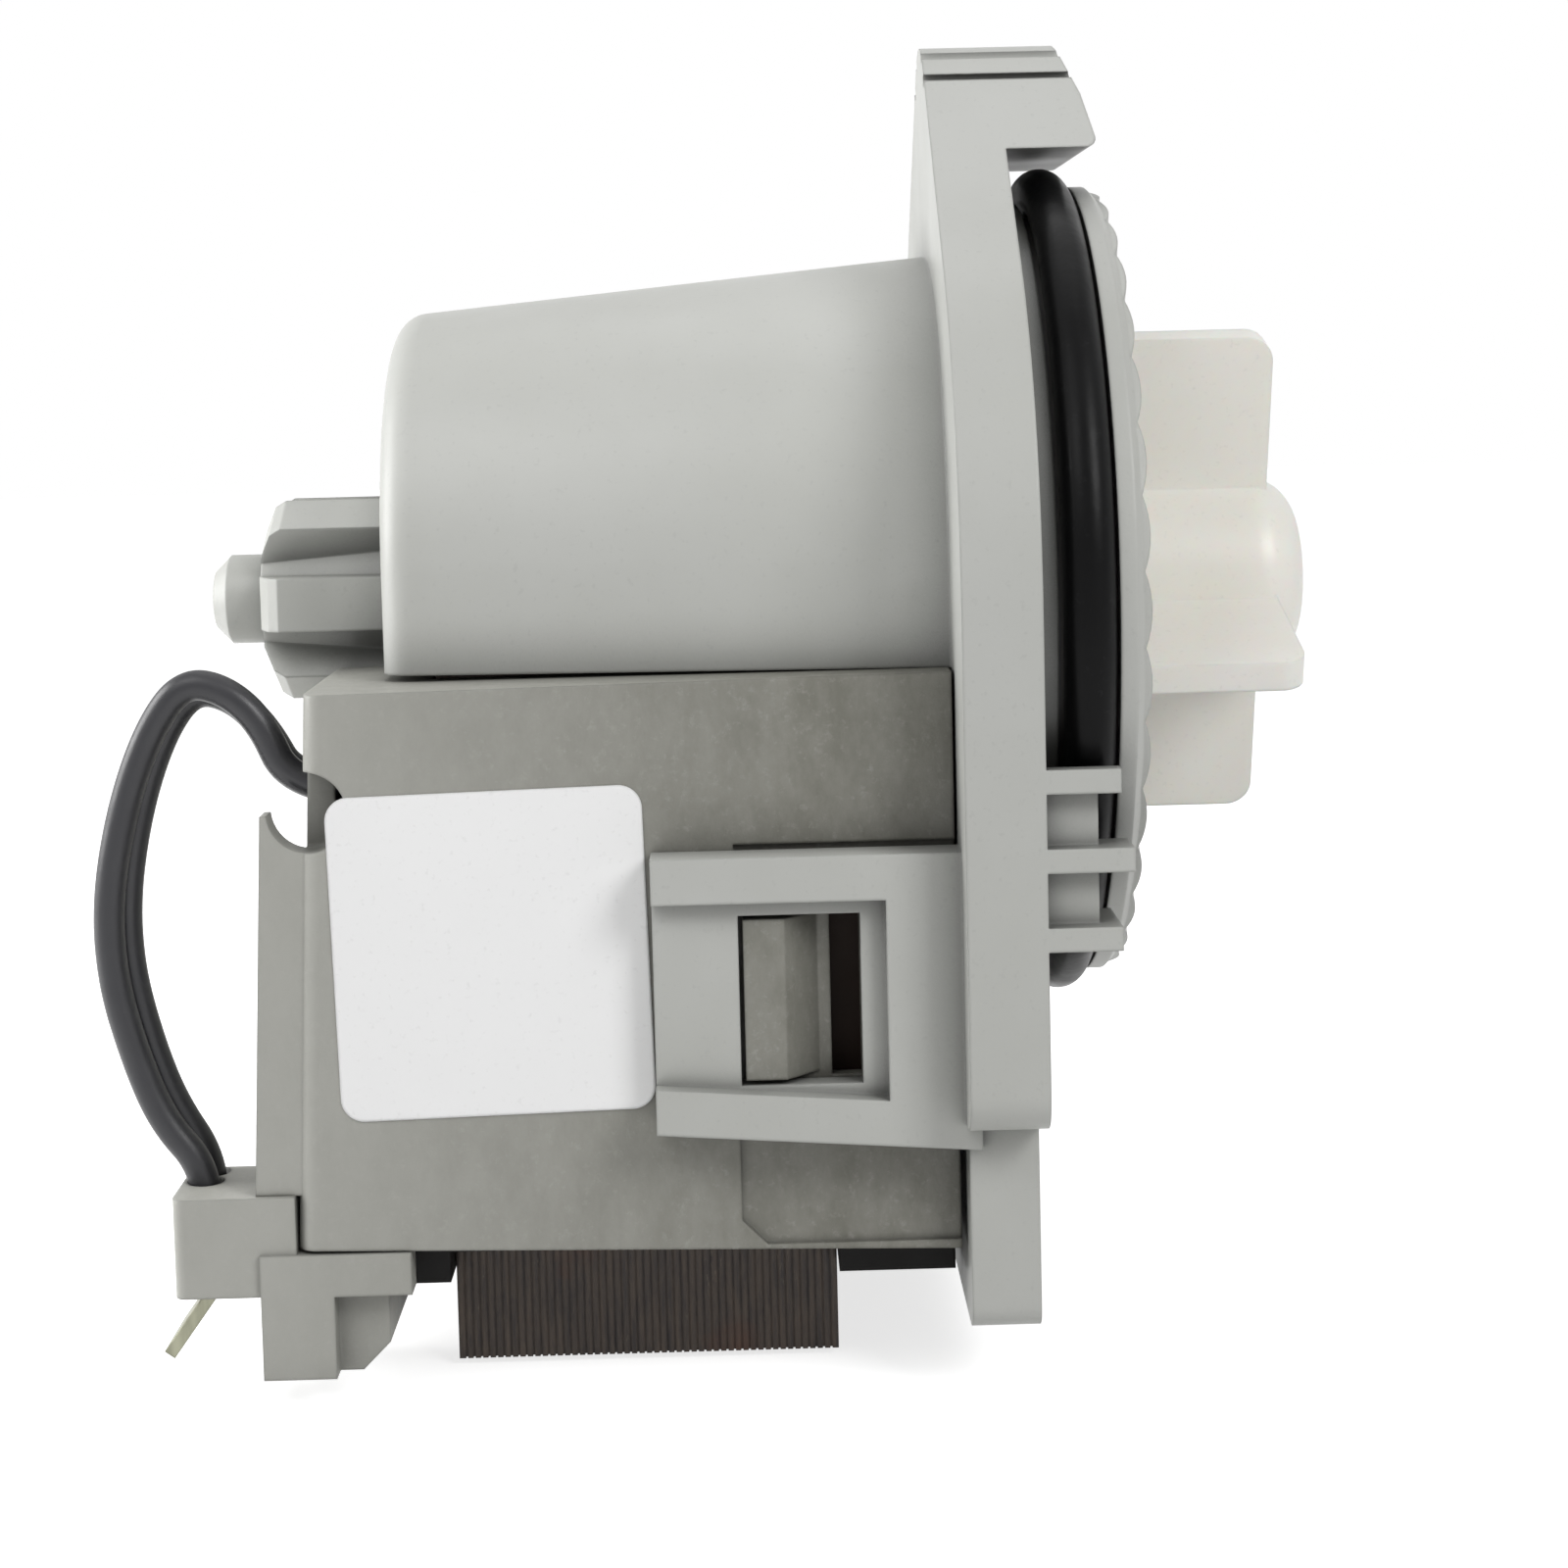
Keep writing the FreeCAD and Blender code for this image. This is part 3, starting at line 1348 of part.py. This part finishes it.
def lead(label, depth, inward):
    """One wire of the pair, a little inside or outside the other one's route."""
    points = [FreeCAD.Vector(x, -depth.number, z) for x, z in LEAD_ROUTE]
    points[-1].z = -(d.block_top_drop + d.lead_seat).number
    middle = FreeCAD.Vector(LEAD_ROUTE_MIDDLE[0], -depth.number, LEAD_ROUTE_MIDDLE[1])
    for point in points[2:-2]:
        away = (point - middle).normalize()
        point.x -= away.x * inward.number
        point.z -= away.z * inward.number
    path, radii = rounded_path(points)
    print(label, "radii", [round(r, 1) for r in radii], "length", round(path.Length, 1))
    radius = d.lead_diameter.number / 2
    section = Part.Wire(Part.makeCircle(radius, points[0], points[1] - points[0]))
    shape = path.makePipeShell([section], True, False)
    wanted = math.pi * radius * radius * path.Length
    if abs(shape.Volume / wanted - 1) > 0.01:
        raise RuntimeError(label + ": the tube's volume is off")
    feature = doc.addObject("Part::Feature", label)
    feature.Label = label
    feature.Shape = shape
    return feature


def build_all():
    motor_housing()
    front_cover()
    stator_casing()
    terminal_block()
    spade("near_spade", 1)
    spade("far_spade", -1)
    core_stack()
    former("near_bobbin", -1)
    former("far_bobbin", 1)
    winding("near_winding", -1)
    winding("far_winding", 1)
    thermal_cutout()
    blank_label()
    rotor_line()
    drive_dog()
    impeller()
    impeller_cap()
    near_depth, far_depth = lead_depths()
    lead("near_lead", near_depth, -d.lead_spread)
    lead("far_lead", far_depth, d.lead_spread)


def check_and_write():
    os.makedirs("parts", exist_ok=True)
    doc.recompute()
    for item in doc.Objects:
        if "Invalid" in item.State or "Error" in item.State:
            raise RuntimeError(item.Label + ": " + str(item.State))
    pieces = [o for o in doc.Objects if o.TypeId in ("PartDesign::Body", "Part::Feature") and o.Label != "Dims"]
    for piece in pieces:
        shape = piece.Shape
        if shape.isNull() or not shape.isValid():
            raise RuntimeError(piece.Label + ": no valid shape")
        print(piece.Label, round(shape.Volume, 2), "solids", len(shape.Solids))
    for piece in pieces:
        piece.Shape.exportStep("parts/" + piece.Label + ".step")


fill_sheet()
build_all()
check_and_write()
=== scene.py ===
# Dishwasher drain pump: looks, leads, stage and camera round the CAD frame, in metres
import json
import math

import bpy
from mathutils import Euler, Matrix, Vector


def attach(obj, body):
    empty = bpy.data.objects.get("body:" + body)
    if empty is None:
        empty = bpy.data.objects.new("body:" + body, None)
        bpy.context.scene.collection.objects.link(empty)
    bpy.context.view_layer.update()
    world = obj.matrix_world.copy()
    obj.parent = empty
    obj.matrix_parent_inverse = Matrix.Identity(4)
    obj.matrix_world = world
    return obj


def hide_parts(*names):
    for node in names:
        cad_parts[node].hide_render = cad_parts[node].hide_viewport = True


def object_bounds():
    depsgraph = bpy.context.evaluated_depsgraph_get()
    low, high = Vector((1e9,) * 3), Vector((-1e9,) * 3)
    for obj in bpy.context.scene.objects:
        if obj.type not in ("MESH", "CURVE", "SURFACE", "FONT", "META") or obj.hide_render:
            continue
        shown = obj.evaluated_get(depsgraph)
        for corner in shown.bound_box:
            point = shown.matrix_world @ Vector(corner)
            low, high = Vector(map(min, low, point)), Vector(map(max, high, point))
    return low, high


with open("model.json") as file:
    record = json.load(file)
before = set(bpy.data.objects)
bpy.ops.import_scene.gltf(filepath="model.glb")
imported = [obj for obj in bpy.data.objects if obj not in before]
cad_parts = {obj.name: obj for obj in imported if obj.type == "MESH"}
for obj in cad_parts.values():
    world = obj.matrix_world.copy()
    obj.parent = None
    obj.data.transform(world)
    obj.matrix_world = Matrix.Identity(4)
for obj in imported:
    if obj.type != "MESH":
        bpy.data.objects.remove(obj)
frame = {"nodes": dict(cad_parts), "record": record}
cad_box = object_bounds()
nodes = frame["nodes"]

WHITE = (1.0, 1.0, 1.0, 1.0)
# The colour that painted shade darkens towards
SHADE_BLACK = (0.0, 0.0, 0.0, 1.0)


# Short calls for shader nodes

def linear(level):
    """An 8-bit display level as linear light."""
    level = level / 255
    return level / 12.92 if level <= 0.04045 else ((level + 0.055) / 1.055) ** 2.4


def colour(red, green, blue):
    """An opaque colour from 8-bit display levels."""
    return (linear(red), linear(green), linear(blue), 1.0)


def dimmed(main, share):
    """The colour with only this share of its light."""
    return tuple(channel * share for channel in main[:3]) + (1.0,)


def map_range(tree, source, low, high, to_low=0.0, to_high=1.0):
    """Maps a range of values to another one, clamped."""
    made = tree.nodes.new("ShaderNodeMapRange")
    for name, value in (("From Min", low), ("From Max", high), ("To Min", to_low), ("To Max", to_high)):
        made.inputs[name].default_value = value
    tree.links.new(source, made.inputs["Value"])
    return made.outputs["Result"]


def combine(tree, operation, first, second):
    """One value from two, by a math node."""
    made = tree.nodes.new("ShaderNodeMath")
    made.operation = operation
    tree.links.new(first, made.inputs[0])
    tree.links.new(second, made.inputs[1])
    return made.outputs["Value"]


# Materials, each kept under the name of its slot

LOOKS = {}
EDGE_RADIUS = 0.0003
EDGE_SAMPLES = 6
# How far the painted shade in crevices looks for nearby surfaces, and with how many samples
GAP_REACH = 0.006
GAP_SAMPLES = 8


class Graph:
    """One material and short calls for building its nodes. Noise scales are per metre."""

    def __init__(self, slot):
        material = bpy.data.materials.new(slot)
        material.use_nodes = True
        LOOKS[slot] = material
        self.tree = material.node_tree
        self.shader = self.tree.nodes["Principled BSDF"]
        self.place = self.tree.nodes.new("ShaderNodeTexCoord").outputs["Object"]

    def link(self, source, target):
        self.tree.links.new(source, target)

    def node(self, kind, **values):
        made = self.tree.nodes.new(kind)
        for key, value in values.items():
            setattr(made, key, value)
        return made

    def noise(self, scale, detail=3.0, rough=0.5, stretch=None):
        place = self.place
        if stretch:
            mapping = self.node("ShaderNodeMapping")
            mapping.inputs["Scale"].default_value = stretch
            self.link(place, mapping.inputs["Vector"])
            place = mapping.outputs["Vector"]
        made = self.node("ShaderNodeTexNoise")
        for name, value in (("Scale", scale), ("Detail", detail), ("Roughness", rough)):
            made.inputs[name].default_value = value
        self.link(place, made.inputs["Vector"])
        return made.outputs["Fac"]

    def band(self, source, low, high, to_low=0.0, to_high=1.0):
        return map_range(self.tree, source, low, high, to_low, to_high)

    def blend(self, factor, first, second):
        """Mixes two colours, each a colour value or a socket."""
        made = self.node("ShaderNodeMix", data_type="RGBA")
        self.link(factor, made.inputs["Factor"])
        for name, value in (("A", first), ("B", second)):
            socket = [s for s in made.inputs if s.name == name and s.type == "RGBA"][0]
            if isinstance(value, bpy.types.NodeSocket):
                self.link(value, socket)
            else:
                socket.default_value = value
        return [s for s in made.outputs if s.type == "RGBA"][0]

    def bump(self, relief, strength, height):
        """Fine relief, over edges that the light rolls round."""
        soft = self.node("ShaderNodeBevel", samples=EDGE_SAMPLES)
        soft.inputs["Radius"].default_value = EDGE_RADIUS
        made = self.node("ShaderNodeBump")
        self.link(soft.outputs["Normal"], made.inputs["Normal"])
        made.inputs["Strength"].default_value = strength
        made.inputs["Distance"].default_value = height
        self.link(relief, made.inputs["Height"])
        self.link(made.outputs["Normal"], self.shader.inputs["Normal"])

    def paint_shade(self, base, depth):
        """Painted shade: darkens the colour in narrow crevices and recesses, where less light reaches."""
        hidden = self.node("ShaderNodeAmbientOcclusion", samples=GAP_SAMPLES)
        hidden.inputs["Distance"].default_value = GAP_REACH
        factor = self.band(hidden.outputs["AO"], low=0.35, high=0.85, to_low=depth, to_high=0.0)
        return self.blend(factor, base, SHADE_BLACK)

    def finish(self, base, rough, **values):
        """Connects colour and roughness, and sets the shader's other values by their names."""
        self.link(base, self.shader.inputs["Base Color"])
        self.link(rough, self.shader.inputs["Roughness"])
        for name, value in values.items():
            self.shader.inputs[name.replace("_", " ")].default_value = value


def moulded(slot, main, other, rough, grain, gap_shade=0.0, **values):
    """Moulded plastic: slow colour drift, fine speckle, a spark-eroded grain and, if asked, painted shade
    in crevices and recesses.
    """
    g = Graph(slot)
    drift = g.band(g.noise(scale=45.0, detail=4.0, rough=0.6), low=0.35, high=0.65)
    speckle = g.band(g.noise(scale=2600.0, detail=2.0), low=0.62, high=0.75, to_high=0.35)
    base = g.blend(drift, main, other)
    base = g.blend(speckle, base, dimmed(main, share=0.8))
    # Painted shade: the colour is darkened in crevices and recesses
    if gap_shade:
        base = g.paint_shade(base, gap_shade)
    g.bump(g.noise(scale=3200.0), strength=grain, height=0.00006)
    spread = 0.06
    sheen = g.band(g.noise(scale=160.0), low=0.3, high=0.7, to_low=rough - spread, to_high=rough + spread)
    g.finish(base, sheen, **values)


def mottled(slot, main, other, fleck_and_painted_light):
    """Filled plastic: streaky flow marks and mottling, with painted light that makes it paler towards the
    wire end and painted shade in crevices and recesses.
    """
    # Where the painted light starts and ends along x, paler towards the wire end
    painted_light_start, painted_light_end = -0.014, -0.050
    g = Graph(slot)
    marks = g.noise(scale=420.0, detail=6.0, rough=0.72, stretch=(1.0, 1.0, 0.55))
    flow = g.band(marks, low=0.34, high=0.66)
    base = g.blend(flow, main, other)
    fleck = g.band(g.noise(scale=1500.0, detail=4.0, rough=0.75), low=0.56, high=0.72, to_high=0.25)
    base = g.blend(fleck, base, fleck_and_painted_light)
    split = g.node("ShaderNodeSeparateXYZ")
    g.link(g.place, split.inputs["Vector"])
    # Painted light: the colour turns paler towards the wire end, as if lit more strongly there
    painted_light_rearward = g.band(split.outputs["X"], low=painted_light_start, high=painted_light_end, to_high=0.75)
    # Painted shade: darker in crevices and recesses
    base = g.paint_shade(g.blend(painted_light_rearward, base, fleck_and_painted_light), depth=0.45)
    g.bump(g.noise(scale=2400.0, detail=4.0, rough=0.6), strength=0.45, height=0.00008)
    g.finish(base, g.band(flow, low=0.0, high=1.0, to_low=0.42, to_high=0.58))


def rubber(slot, main, rough, specular=0.25):
    """Rubber or soft insulation with a thin film of dust."""
    g = Graph(slot)
    dust = g.band(g.noise(scale=900.0, detail=5.0, rough=0.7), low=0.6, high=0.8, to_high=0.25)
    base = g.blend(dust, main, colour(58, 58, 60))
    g.bump(g.noise(scale=1800.0), strength=0.25, height=0.00005)
    spread = 0.08
    sheen = g.band(g.noise(scale=300.0), low=0.3, high=0.7, to_low=rough - spread, to_high=rough + spread)
    g.finish(base, sheen, Specular_IOR_Level=specular)


def metal(slot, main, rough, stretch):
    """Bare metal with fine marks drawn out along one axis."""
    g = Graph(slot)
    streak = g.band(g.noise(scale=1500.0, stretch=stretch), low=0.35, high=0.65)
    g.bump(streak, strength=0.15, height=0.00004)
    base = g.blend(streak, main, dimmed(main, share=0.75))
    g.finish(base, g.band(streak, low=0.0, high=1.0, to_low=rough, to_high=rough + 0.12), Metallic=1.0)


def laminated(slot):
    """Cut edges of steel sheets: fine streaks, worn bright in places and rusty in others."""
    g = Graph(slot)
    streak = g.noise(scale=700.0, detail=4.0, rough=0.7, stretch=(3.5, 0.35, 0.35))
    base = g.blend(g.band(streak, low=0.35, high=0.7), colour(38, 32, 30), colour(84, 74, 66))
    wear = g.noise(scale=260.0, detail=5.0, rough=0.7, stretch=(4.0, 1.0, 1.0))
    base = g.blend(g.band(wear, low=0.62, high=0.78, to_high=0.7), base, colour(122, 112, 100))
    rust = g.noise(scale=120.0, detail=4.0, rough=0.6)
    base = g.blend(g.band(rust, low=0.6, high=0.75, to_high=0.5), base, colour(84, 50, 34))
    g.bump(streak, strength=0.3, height=0.00008)
    g.finish(base, g.band(streak, low=0.3, high=0.7, to_low=0.42, to_high=0.62), Metallic=0.35)


# Housing plastic with painted shade in its crevices and recesses
moulded("housing_plastic", colour(192, 193, 189), colour(186, 187, 182), rough=0.42, grain=0.18, gap_shade=0.7)
moulded("impeller_plastic", colour(250, 248, 242), colour(245, 242, 233), rough=0.36, grain=0.1,
        Subsurface_Weight=0.25, Subsurface_Scale=0.002)
# Casing plastic with painted light towards the wire end and painted shade in its crevices
mottled("casing_plastic", colour(136, 135, 127), colour(118, 117, 108), fleck_and_painted_light=colour(184, 184, 178))
moulded("former_plastic", colour(24, 23, 22), colour(18, 17, 17), rough=0.5, grain=0.2,
        Specular_IOR_Level=0.15)
moulded("label_film", colour(254, 254, 254), colour(251, 251, 251), rough=0.4, grain=0.05)
rubber("ring_rubber", colour(9, 9, 10), rough=0.36, specular=0.1)
rubber("seal_rubber", colour(28, 28, 28), rough=0.5)
rubber("lead_insulation", colour(38, 38, 42), rough=0.38, specular=0.5)
laminated("core_steel")
metal("spade_metal", colour(146, 146, 128), rough=0.36, stretch=(1.0, 1.0, 0.1))
metal("shaft_steel", colour(196, 196, 198), rough=0.22, stretch=(1.0, 0.1, 1.0))
moulded("copper_wire", colour(44, 30, 22), colour(34, 24, 18), rough=0.6, grain=0.2,
        Specular_IOR_Level=0.2)
moulded("magnet_ferrite", colour(62, 62, 64), colour(52, 52, 54), rough=0.5, grain=0.3)
moulded("bearing_ceramic", colour(92, 92, 92), colour(80, 80, 80), rough=0.45, grain=0.2)
moulded("washer_plastic", colour(214, 208, 192), colour(206, 200, 184), rough=0.4, grain=0.1)
moulded("sleeve_plastic", colour(190, 188, 184), colour(180, 178, 172), rough=0.45, grain=0.1)
moulded("switch_plastic", colour(206, 202, 190), colour(198, 194, 182), rough=0.45, grain=0.1)

for subpart in frame["record"]["subparts"]:
    for slot in nodes[subpart["node"]].material_slots:
        slot.material = LOOKS[subpart["material_slot"]]


# Leads: one route for both, as x and z of listed points

LEAD_DIAMETER = 0.002
LEAD_ROUTE = [
    (-0.0447, -0.0111), (-0.0480, -0.0106), (-0.0496, -0.0070), (-0.0518, -0.0048),
    (-0.0544, -0.0042), (-0.0566, -0.0070), (-0.0585, -0.0120), (-0.0597, -0.0180),
    (-0.0596, -0.0232), (-0.0584, -0.0282), (-0.0569, -0.0324), (-0.0544, -0.0359),
    (-0.0544, -0.0382),
]
ROUTE_MIDDLE = (-0.051, -0.020)
ROUTE_ENDS = 2
LEAD_SPREAD = 0.00035
CURVE_ORDER = 3
CURVE_STEPS = 10
ROUND_STEPS = 5


def lead(node, depth, inward):
    """One wire of the pair as a smooth cord, moved inward from the route except at its ends."""
    points = []
    for index, (x, z) in enumerate(LEAD_ROUTE):
        if ROUTE_ENDS <= index < len(LEAD_ROUTE) - ROUTE_ENDS:
            away = Vector((x - ROUTE_MIDDLE[0], z - ROUTE_MIDDLE[1])).normalized()
            x -= away.x * inward
            z -= away.y * inward
        points.append((x, -depth, z))
    curve = bpy.data.curves.new(node + "_cord", "CURVE")
    curve.dimensions = "3D"
    curve.bevel_depth = LEAD_DIAMETER / 2
    curve.bevel_resolution = ROUND_STEPS
    curve.resolution_u = CURVE_STEPS
    curve.use_fill_caps = True
    spline = curve.splines.new("NURBS")
    spline.points.add(len(points) - 1)
    for target, point in zip(spline.points, points):
        target.co = (*point, 1.0)
    spline.order_u = CURVE_ORDER
    spline.use_endpoint_u = True
    curve.materials.append(LOOKS["lead_insulation"])
    cord = bpy.data.objects.new(node + "_cord", curve)
    bpy.context.collection.objects.link(cord)
    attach(cord, "housing")
    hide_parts(node)


lead("near_lead", depth=0.0182, inward=-LEAD_SPREAD)
lead("far_lead", depth=0.01605, inward=LEAD_SPREAD)


# Floor and surround

FLOOR_SIZE = 3.0
FLOOR_DROP = 0.0005
FLOOR_SHADE = 0.8
FLOOR_LIFT = 0.75
SHADOW_CLOSE = 0.055
SHADOW_FAR = 0.12
AMBIENT = 0.12


def seen_directly(tree):
    """One for rays from the camera and for mirrored or refracted ones, and zero for diffuse ones."""
    path = tree.nodes.new("ShaderNodeLightPath")
    seen = path.outputs["Is Camera Ray"]
    for kind in ("Is Glossy Ray", "Is Transmission Ray"):
        seen = combine(tree, "MAXIMUM", seen, path.outputs[kind])
    return seen


def lift_by_distance(tree):
    """The floor's lift round the middle, growing to one with the distance from it."""
    place = tree.nodes.new("ShaderNodeTexCoord")
    length = tree.nodes.new("ShaderNodeVectorMath")
    length.operation = "LENGTH"
    tree.links.new(place.outputs["Object"], length.inputs[0])
    return map_range(tree, length.outputs["Value"], SHADOW_CLOSE, SHADOW_FAR, FLOOR_LIFT, 1.0)


def floor_material():
    """A matte floor with a glow that lifts it towards white, least where the object's shadow falls."""
    material = bpy.data.materials.new("floor_white")
    material.use_nodes = True
    tree = material.node_tree
    tree.nodes.clear()
    matte = tree.nodes.new("ShaderNodeBsdfDiffuse")
    matte.inputs["Color"].default_value = (FLOOR_SHADE, FLOOR_SHADE, FLOOR_SHADE, 1.0)
    glow = tree.nodes.new("ShaderNodeEmission")
    level = combine(tree, "MULTIPLY", seen_directly(tree), lift_by_distance(tree))
    tree.links.new(level, glow.inputs["Strength"])
    both = tree.nodes.new("ShaderNodeAddShader")
    tree.links.new(matte.outputs["BSDF"], both.inputs[0])
    tree.links.new(glow.outputs["Emission"], both.inputs[1])
    out = tree.nodes.new("ShaderNodeOutputMaterial")
    tree.links.new(both.outputs["Shader"], out.inputs["Surface"])
    return material


def add_floor():
    """The floor, a little below the object's lowest point."""
    bpy.ops.mesh.primitive_plane_add(size=FLOOR_SIZE, location=(0.0, 0.0, cad_box[0][2] - FLOOR_DROP))
    floor = bpy.context.object
    floor.name = "floor"
    floor.data.materials.append(floor_material())


def add_surround():
    """White where it is seen directly, and a faint even light on the object."""
    world = bpy.data.worlds.new("studio")
    bpy.context.scene.world = world
    world.use_nodes = True
    tree = world.node_tree
    backdrop = tree.nodes["Background"]
    backdrop.inputs["Color"].default_value = WHITE
    strength = tree.nodes.new("ShaderNodeMix")
    strength.inputs["A"].default_value = AMBIENT
    strength.inputs["B"].default_value = 1.0
    tree.links.new(seen_directly(tree), strength.inputs["Factor"])
    tree.links.new(strength.outputs["Result"], backdrop.inputs["Strength"])


add_floor()
add_surround()


# Lamps, all aimed at the object's middle

MIDDLE = (-0.018, 0.0, -0.01)


def soft_box(name, place, width, height, power):
    """A rectangular lamp, its power in watts, that the camera doesn't see."""
    lamp = bpy.data.lights.new(name, "AREA")
    lamp.shape = "RECTANGLE"
    lamp.size = width
    lamp.size_y = height
    lamp.energy = power
    holder = bpy.data.objects.new(name, lamp)
    bpy.context.collection.objects.link(holder)
    holder.location = place
    holder.visible_camera = False
    holder.rotation_euler = (Vector(MIDDLE) - Vector(place)).to_track_quat("-Z", "Y").to_euler()


soft_box("key_light", place=(-0.10, -0.12, 0.13), width=0.10, height=0.10, power=0.090)
soft_box("front_light", place=(0.16, -0.20, 0.16), width=0.12, height=0.12, power=0.44)
soft_box("top_light", place=(0.0, 0.05, 0.30), width=0.25, height=0.2, power=0.14)
soft_box("rear_light", place=(-0.25, 0.0, 0.06), width=0.15, height=0.15, power=0.52)


# Camera, fitted to the photograph: angles in degrees, focal length in its pixels

CAMERA_PLACE = (-0.0178, -0.193, 0.015)
CAMERA_PITCH = 4.67
CAMERA_YAW = 0.72
CAMERA_ROLL = 1.4
FOCAL_PIXELS = 2770.0
IMAGE_PIXELS = 1600.0
PICTURE_SHIFT = -0.12
SENSOR_MILLIMETRES = 36.0
NEAREST_SEEN = 0.005


def add_camera():
    """The camera that looks from the photograph's side."""
    data = bpy.data.cameras.new("photo_camera")
    data.sensor_width = SENSOR_MILLIMETRES
    data.lens = SENSOR_MILLIMETRES * FOCAL_PIXELS / IMAGE_PIXELS
    data.clip_start = NEAREST_SEEN
    data.shift_y = PICTURE_SHIFT
    camera = bpy.data.objects.new("photo_camera", data)
    bpy.context.collection.objects.link(camera)
    aim = Euler((math.radians(90.0 - CAMERA_PITCH), 0.0, math.radians(-CAMERA_YAW))).to_matrix()
    turn = aim @ Matrix.Rotation(math.radians(-CAMERA_ROLL), 3, "Z")
    camera.matrix_world = Matrix.Translation(CAMERA_PLACE) @ turn.to_4x4()
    bpy.context.scene.camera = camera


add_camera()
bpy.context.scene.view_settings.view_transform = "Standard"
